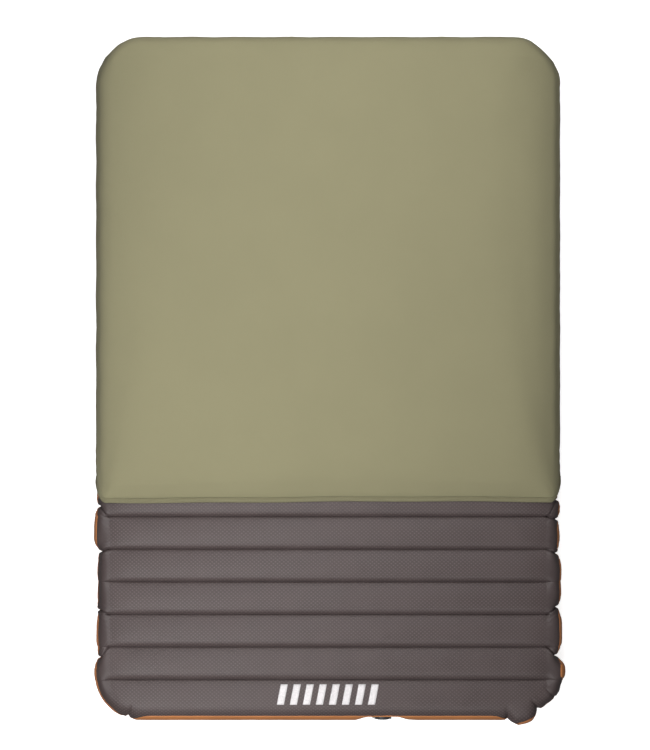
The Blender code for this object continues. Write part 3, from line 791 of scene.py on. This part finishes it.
class Finish:
    """A node material in the making: short calls that add and join its nodes."""

    def __init__(self, name, colour, roughness, **sockets):
        self.material = bpy.data.materials.new(name)
        self.material.use_nodes = True
        self.tree = self.material.node_tree
        self.shader = self.tree.nodes["Principled BSDF"]
        self.set(self.shader, "Base Color", (*colour, 1))
        self.set(self.shader, "Roughness", roughness)
        for socket, value in sockets.items():
            self.set(self.shader, socket.replace("_", " "), value)

    def set(self, node, socket, value):
        if isinstance(value, bpy.types.NodeSocket):
            self.tree.links.new(value, node.inputs[socket])
        else:
            node.inputs[socket].default_value = value

    def node(self, kind, output=0, settings=None, **sockets):
        made = self.tree.nodes.new(kind)
        for key, value in (settings or {}).items():
            setattr(made, key, value)
        for socket, value in sockets.items():
            self.set(made, socket.replace("_", " "), value)
        return made.outputs[output]

    def math(self, operation, first, second=0.0, third=0.0):
        made = self.tree.nodes.new("ShaderNodeMath")
        made.operation = operation
        for index, value in enumerate((first, second, third)):
            self.set(made, index, value)
        return made.outputs[0]

    def cloth(self):
        """x and y on the unrolled cloth, in metres."""
        place = self.node("ShaderNodeUVMap", settings={"uv_map": "cloth"})
        apart = self.tree.nodes.new("ShaderNodeSeparateXYZ")
        self.tree.links.new(place, apart.inputs[0])
        return apart.outputs[0], apart.outputs[1]

    def object_place(self):
        return self.node("ShaderNodeTexCoord", "Object")

    def wave(self, value, period, phase=0.0):
        """A cosine of a length, from -1 to 1."""
        return self.math("COSINE", self.math("MULTIPLY_ADD", value, 2 * pi / period, phase))

    def noise(self, scale, detail=2.0, rough=0.5, place=None):
        return self.node("ShaderNodeTexNoise", Vector=place or self.object_place(), Scale=scale,
                         Detail=detail, Roughness=rough)

    def between(self, value, low, high, out_low=0.0, out_high=1.0):
        return self.node("ShaderNodeMapRange", settings={"interpolation_type": "SMOOTHSTEP"},
                         Value=value, From_Min=low, From_Max=high, To_Min=out_low, To_Max=out_high)

    def mix(self, share, first, second):
        made = self.tree.nodes.new("ShaderNodeMix")
        made.data_type = "RGBA"
        self.set(made, 0, share)
        self.set(made, 6, (*first, 1) if isinstance(first, tuple) else first)
        self.set(made, 7, (*second, 1) if isinstance(second, tuple) else second)
        return made.outputs[2]

    def bump(self, height, distance, strength=1.0, under=None):
        made = self.tree.nodes.new("ShaderNodeBump")
        self.set(made, "Height", height)
        self.set(made, "Distance", distance)
        self.set(made, "Strength", strength)
        if under is not None:
            self.set(made, "Normal", under)
        return made.outputs[0]

    def colour(self, value):
        self.set(self.shader, "Base Color", value)

    def roughness(self, value):
        self.set(self.shader, "Roughness", value)

    def normal(self, value):
        self.set(self.shader, "Normal", value)


def shade(colour, factor):
    return tuple(c * factor for c in colour)


def kept(make):
    """Makes a material once, and hands out the same one after that."""
    made = {}

    def get():
        if "it" not in made:
            made["it"] = make()
        return made["it"]

    return get


GREY = (0.058, 0.043, 0.042)
RUST = (0.440, 0.165, 0.050)
OLIVE = (0.262, 0.244, 0.143)
FINE_WEAVE = 0.0009
LATTICE_ACROSS, LATTICE_ALONG = 0.0118, 0.0100


def weave(finish, x, y, period):
    """Height of a plain weave: threads that pass over and under each other."""
    over = finish.math("MULTIPLY", finish.wave(x, period), finish.wave(y, period))
    return finish.math("MULTIPLY_ADD", over, 0.5, 0.5)


def raised_lattice(finish, x, y):
    """Height of the diamonds pressed into the grey fabric."""
    return finish.math("MULTIPLY", finish.wave(x, LATTICE_ACROSS), finish.wave(y, LATTICE_ALONG))


@kept
def coated_grey():
    """Coated fabric with a fine weave and a lattice of raised diamonds. The diamonds are also coloured
    lighter as a painted glint, which fades out on the side walls, where they lie in shade.
    """
    finish = Finish("coated_grey", GREY, 0.46, Specular_IOR_Level=0.34, Sheen_Weight=0.02)
    x, y = finish.cloth()
    lattice = raised_lattice(finish, x, y)
    # Mask that keeps the dots, and their painted glint, off the side walls, where they lie in shade.
    off_shaded_walls = finish.between(finish.math("ABSOLUTE", x), CORE_X + 0.020, CORE_X - 0.015)
    raised_dots_with_glint = finish.math("MULTIPLY", finish.between(lattice, 0.0, 0.85), off_shaded_walls)
    cloudy = finish.between(finish.noise(9, 3), 0.3, 0.7)
    ground = finish.mix(cloudy, shade(GREY, 0.93), shade(GREY, 1.06))
    # Painted glint: the raised dots are coloured lighter than the ground.
    finish.colour(finish.mix(finish.math("MULTIPLY", raised_dots_with_glint, 0.60), ground, shade(GREY, 2.1)))
    finish.roughness(finish.math("MULTIPLY_ADD", cloudy, 0.06, 0.42))
    fine = finish.bump(weave(finish, x, y, FINE_WEAVE), 0.00004, 0.8)
    finish.normal(finish.bump(raised_dots_with_glint, 0.00035, 0.9, fine))
    return finish.material


@kept
def coated_rust():
    """Coated fabric of the base: a plain weave under a thin film."""
    finish = Finish("coated_rust", RUST, 0.50, Specular_IOR_Level=0.40, Sheen_Weight=0.05)
    x, y = finish.cloth()
    threads = weave(finish, x, y, 0.0010)
    cloudy = finish.between(finish.noise(8, 3), 0.3, 0.7)
    ground = finish.mix(cloudy, shade(RUST, 0.88), shade(RUST, 1.05))
    finish.colour(finish.mix(finish.math("MULTIPLY", threads, 0.25), ground, shade(RUST, 1.25)))
    finish.roughness(finish.math("MULTIPLY_ADD", cloudy, 0.08, 0.46))
    crumple = finish.bump(finish.noise(60, 3), 0.0008, 0.35)
    finish.normal(finish.bump(threads, 0.00006, 0.8, crumple))
    return finish.material


def knit(name, olive):
    """Soft stretch knit: columns of small V loops with a brushed haze."""
    finish = Finish(name, olive, 0.88, Specular_IOR_Level=0.20, Sheen_Weight=0.12,
                    Sheen_Roughness=0.6, Sheen_Tint=(0.80, 0.78, 0.66, 1))
    x, y = finish.cloth()
    wale, course = 0.0014, 0.0011
    column = finish.math("PINGPONG", finish.math("DIVIDE", x, wale), 0.5)
    slant = finish.math("MULTIPLY_ADD", column, course * 1.1, y)
    loops = finish.math("MULTIPLY_ADD", finish.wave(slant, course), 0.5, 0.5)
    ribs = finish.math("MULTIPLY_ADD", finish.wave(x, wale), 0.5, 0.5)
    height = finish.math("MULTIPLY", loops, finish.math("MULTIPLY_ADD", ribs, 0.6, 0.4))
    cloudy = finish.between(finish.noise(6, 4), 0.3, 0.7)
    ground = finish.mix(cloudy, shade(olive, 0.96), shade(olive, 1.04))
    fuzz = finish.noise(900, 2)
    depth = finish.math("MULTIPLY_ADD", height, 0.35, finish.math("MULTIPLY", fuzz, 0.25))
    finish.colour(finish.mix(depth, shade(olive, 0.80), ground))
    soft = finish.bump(finish.noise(45, 3), 0.0006, 0.25)
    finish.normal(finish.bump(height, 0.00022, 0.7, soft))
    return finish.material


@kept
def olive_knit():
    return knit("olive_knit", OLIVE)


# Painted shade: a darker copy of the knit for the hem's fold, standing for the shade that falls there.
@kept
def shaded_fold_knit():
    return knit("shaded_fold_knit", shade(OLIVE, 0.74))


@kept
def woven_webbing():
    """Polyester webbing with a herringbone of tight cords."""
    black = (0.020, 0.020, 0.021)
    finish = Finish("woven_webbing", black, 0.62, Specular_IOR_Level=0.35, Sheen_Weight=0.10)
    x, y = finish.cloth()
    zigzag = finish.math("PINGPONG", y, 0.0020)
    cords = finish.wave(finish.math("ADD", x, zigzag), 0.0013)
    height = finish.math("MULTIPLY_ADD", cords, 0.5, 0.5)
    finish.colour(finish.mix(height, shade(black, 0.6), shade(black, 1.7)))
    finish.normal(finish.bump(height, 0.00018, 0.9))
    return finish.material


@kept
def ribbed_elastic():
    """Knit binding drawn tight over the elastic, with fine ribs."""
    dark = (0.024, 0.024, 0.022)
    finish = Finish("ribbed_elastic", dark, 0.70, Sheen_Weight=0.15)
    ribs = finish.noise(700, 2)
    finish.colour(finish.mix(ribs, shade(dark, 0.7), shade(dark, 1.7)))
    finish.normal(finish.bump(ribs, 0.0003, 0.8))
    return finish.material


@kept
def olive_thread():
    thread = (0.205, 0.190, 0.110)
    finish = Finish("olive_thread", thread, 0.60, Sheen_Weight=0.10)
    twist = finish.noise(1400, 1)
    finish.colour(finish.mix(twist, shade(thread, 0.75), shade(thread, 1.2)))
    finish.normal(finish.bump(twist, 0.0001, 0.7))
    return finish.material


@kept
def open_cell_foam():
    """Cut foam with open cells."""
    cream = (0.78, 0.74, 0.60)
    finish = Finish("open_cell_foam", cream, 0.95, Specular_IOR_Level=0.15)
    cells = finish.node("ShaderNodeTexVoronoi", "Distance", Vector=finish.object_place(), Scale=620)
    finish.colour(finish.mix(finish.between(cells, 0.1, 0.7), shade(cream, 0.72), cream))
    finish.normal(finish.bump(cells, 0.0008, 0.8))
    return finish.material


@kept
def printed_white():
    """White ink: it lets the lattice and the weave show through."""
    white = (0.72, 0.69, 0.70)
    finish = Finish("printed_white", white, 0.48, Specular_IOR_Level=0.35)
    x, y = finish.cloth()
    lattice = raised_lattice(finish, x, y)
    worn = finish.between(finish.noise(240, 4, 0.7), 0.42, 0.62)
    finish.colour(finish.mix(worn, shade(white, 0.86), white))
    fine = finish.bump(weave(finish, x, y, FINE_WEAVE), 0.00005, 0.8)
    finish.normal(finish.bump(lattice, 0.00030, 0.7, fine))
    return finish.material


def moulded(name, colour, roughness, grain, depth, **sockets):
    """Moulded plastic or rubber: an even grain, faint flow clouds and rubbed edges."""
    finish = Finish(name, colour, roughness, **sockets)
    grains = finish.noise(grain, 2, 0.6)
    clouds = finish.between(finish.noise(70, 3), 0.3, 0.7)
    edges = finish.between(finish.node("ShaderNodeNewGeometry", "Pointiness"), 0.52, 0.60)
    rubbed = finish.math("MULTIPLY", edges, finish.between(finish.noise(300, 3), 0.35, 0.6))
    ground = finish.mix(clouds, shade(colour, 0.88), shade(colour, 1.10))
    finish.colour(finish.mix(finish.math("MULTIPLY", rubbed, 0.55), ground, shade(colour, 2.2)))
    finish.roughness(finish.math("MULTIPLY_ADD", clouds, 0.10, roughness - 0.05))
    finish.normal(finish.bump(grains, depth, 0.8))
    return finish.material


@kept
def charcoal_plastic():
    return moulded("charcoal_plastic", (0.042, 0.042, 0.045), 0.44, 2600, 0.00012,
                   Specular_IOR_Level=0.45)


@kept
def black_film():
    return moulded("black_film", (0.019, 0.018, 0.018), 0.34, 1500, 0.00006, Coat_Weight=0.15)


@kept
def soft_rubber():
    return moulded("soft_rubber", (0.017, 0.017, 0.018), 0.62, 3200, 0.00008)


@kept
def milky_silicone():
    return moulded("milky_silicone", (0.66, 0.66, 0.63), 0.36, 2400, 0.00005,
                   Subsurface_Weight=0.35, Subsurface_Scale=0.004, Transmission_Weight=0.10)


@kept
def pin_steel():
    """Drawn steel pin, with marks along its length."""
    finish = Finish("pin_steel", (0.60, 0.60, 0.61), 0.30, Metallic=1.0, Anisotropic=0.4)
    lines = finish.node("ShaderNodeTexNoise", Scale=400.0, Detail=4.0, Vector=finish.node(
        "ShaderNodeMapping", Vector=finish.object_place(), Scale=(9, 9, 0.6)))
    finish.colour(finish.mix(lines, (0.48, 0.48, 0.49), (0.66, 0.66, 0.67)))
    finish.roughness(finish.math("MULTIPLY_ADD", lines, 0.2, 0.2))
    finish.normal(finish.bump(lines, 0.00004, 0.6))
    return finish.material


def thin_fabric(name, colour, period):
    """Light uncoated cloth for the parts inside the pad."""
    finish = Finish(name, colour, 0.74, Specular_IOR_Level=0.30, Sheen_Weight=0.08)
    apart = finish.tree.nodes.new("ShaderNodeSeparateXYZ")
    finish.tree.links.new(finish.object_place(), apart.inputs[0])
    upright = finish.math("ADD", apart.outputs[1], apart.outputs[2])
    threads = weave(finish, apart.outputs[0], upright, period)
    finish.colour(finish.mix(threads, shade(colour, 0.7), shade(colour, 1.4)))
    finish.normal(finish.bump(threads, 0.00008, 0.8))
    return finish.material


@kept
def baffle_cloth():
    return thin_fabric("baffle_cloth", (0.060, 0.058, 0.060), 0.0008)


@kept
def liner_cloth():
    return thin_fabric("liner_cloth", (0.030, 0.030, 0.030), 0.0012)


def finish_piece(piece, material, nodes=()):
    """Gives a piece its material and slot, and hides the CAD nodes it stands for."""
    piece.data.materials.clear()
    piece.data.materials.append(material)
    if nodes:
        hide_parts(*nodes)


# ---- CAD parts that stay --------------------------------------------------------


def dress_node(name, material, bevel=0.0):
    """A better material, and softened edges, for a CAD part that is kept."""
    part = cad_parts[name]
    for slot in part.material_slots:
        slot.material = material
    if bevel:
        edges = part.modifiers.new("soft_edges", "BEVEL")
        edges.width = bevel
        edges.segments = 2
        edges.limit_method = "ANGLE"
        edges.angle_limit = radians(35)
        edges.harden_normals = True


def dress_cad_parts():
    """Materials for the parts that keep their CAD shape."""
    plastic = charcoal_plastic()
    for name in ("valve_body", "valve_plug", "valve_lid"):
        dress_node(name, plastic, 0.0003)
    dress_node("valve_flange", black_film(), 0.0003)
    dress_node("plug_gasket", soft_rubber(), 0.0001)
    dress_node("lid_gasket", soft_rubber(), 0.0001)
    dress_node("valve_membrane", milky_silicone(), 0.0001)
    dress_node("plug_hinge_pin", pin_steel(), 0.0001)
    dress_node("lid_hinge_pin", pin_steel(), 0.0001)
    dress_node("cover_liner", liner_cloth())
    for number in BAFFLES:
        dress_node(f"baffle_{number:02d}", baffle_cloth())


# ---- stage, lights and camera ---------------------------------------------------


def build_camera():
    """Straight above the pad, far off, with the head end at the top."""
    data = bpy.data.cameras.new("camera")
    camera = add_object("camera", data)
    distance, seen = 6.0, 2.1165  # seen is the picture's height at the wall's middle
    data.sensor_width = 36
    data.lens = 36 * distance / seen
    data.clip_end = 50
    camera.location = (-0.0085, 0.0085, distance + WALL)
    bpy.context.scene.camera = camera


def floor_material():
    """Pale floor that shows plain white from above and nothing from below."""
    made = bpy.data.materials.new("pale_floor")
    made.use_nodes = True
    tree = made.node_tree
    tree.nodes.clear()
    matt = tree.nodes.new("ShaderNodeBsdfDiffuse")
    matt.inputs["Color"].default_value = (0.86, 0.86, 0.86, 1)
    glow = tree.nodes.new("ShaderNodeEmission")
    glow.inputs["Color"].default_value = (1, 1, 1, 1)
    glow.inputs["Strength"].default_value = 0.75
    both = tree.nodes.new("ShaderNodeAddShader")
    clear = tree.nodes.new("ShaderNodeBsdfTransparent")
    side = tree.nodes.new("ShaderNodeNewGeometry")
    pick = tree.nodes.new("ShaderNodeMixShader")
    out = tree.nodes.new("ShaderNodeOutputMaterial")
    tree.links.new(matt.outputs[0], both.inputs[0])
    tree.links.new(glow.outputs[0], both.inputs[1])
    tree.links.new(side.outputs["Backfacing"], pick.inputs[0])
    tree.links.new(both.outputs[0], pick.inputs[1])
    tree.links.new(clear.outputs[0], pick.inputs[2])
    tree.links.new(pick.outputs[0], out.inputs[0])
    return made


def build_floor():
    """A plain floor that takes shadows and throws no light back on the pad."""
    data = bpy.data.meshes.new("floor")
    size = 14
    corners = [(-size, -size, 0), (size, -size, 0), (size, size, 0), (-size, size, 0)]
    data.from_pydata(corners, [], [(0, 1, 2, 3)])
    data.materials.append(floor_material())
    floor = add_object("floor", data)
    floor.location.z = -0.0005
    floor.visible_diffuse = False
    floor.visible_glossy = False


def add_area(name, location, target, size, power, turn=0.0):
    """A rectangular soft light; it lights the pad and isn't seen itself."""
    data = bpy.data.lights.new(name, "AREA")
    data.shape = "RECTANGLE"
    data.size, data.size_y = size
    data.energy = power
    light = add_object(name, data)
    light.location = location
    aim = Vector(target) - Vector(location)
    aimed = aim.to_track_quat("-Z", "Y").to_matrix() @ Matrix.Rotation(radians(turn), 3, "Z")
    light.rotation_euler = aimed.to_euler()
    light.visible_camera = False


def build_world():
    """Even studio light, brighter from above."""
    world = bpy.data.worlds.new("studio")
    bpy.context.scene.world = world
    world.use_nodes = True
    tree = world.node_tree
    place = tree.nodes.new("ShaderNodeTexCoord")
    apart = tree.nodes.new("ShaderNodeSeparateXYZ")
    ramp = tree.nodes.new("ShaderNodeMapRange")
    ramp.interpolation_type = "SMOOTHSTEP"
    for socket, value in (("From Min", 0.0), ("From Max", 0.95), ("To Min", 0.12), ("To Max", 0.34)):
        ramp.inputs[socket].default_value = value
    tree.links.new(place.outputs["Generated"], apart.inputs[0])
    tree.links.new(apart.outputs[2], ramp.inputs["Value"])
    tree.links.new(ramp.outputs[0], tree.nodes["Background"].inputs["Strength"])
    tree.nodes["Background"].inputs["Color"].default_value = (1, 1, 1, 1)


def build_lights():
    build_world()
    add_area("overhead", (-0.16, 0.35, 1.6), (-0.16, 0.34, 0), (0.8, 4.6), 50, turn=-19)
    add_area("foot", (-0.2, -2.0, 2.0), (-0.15, -0.7, 0), (2.2, 0.7), 20)
    add_area("head", (-0.75, 2.4, 1.2), (-0.50, 0.95, 0.05), (0.7, 0.7), 10)


# ---- the scene ------------------------------------------------------------------

build_camera()
bpy.context.scene.view_settings.view_transform = "Standard"
build_floor()
build_lights()

build_top_skin()
build_base_skin()
build_mark()
build_foam()
build_cover()
hem_strip = build_hem()
stitch_row(hem_strip, 5, "hem_stitches_inner")
stitch_row(hem_strip, 3, "hem_stitches_outer")
build_skirt_edge()
build_strap("under_strap_foot", "strap_foot")
build_strap("under_strap_head", "strap_head")
dress_cad_parts()
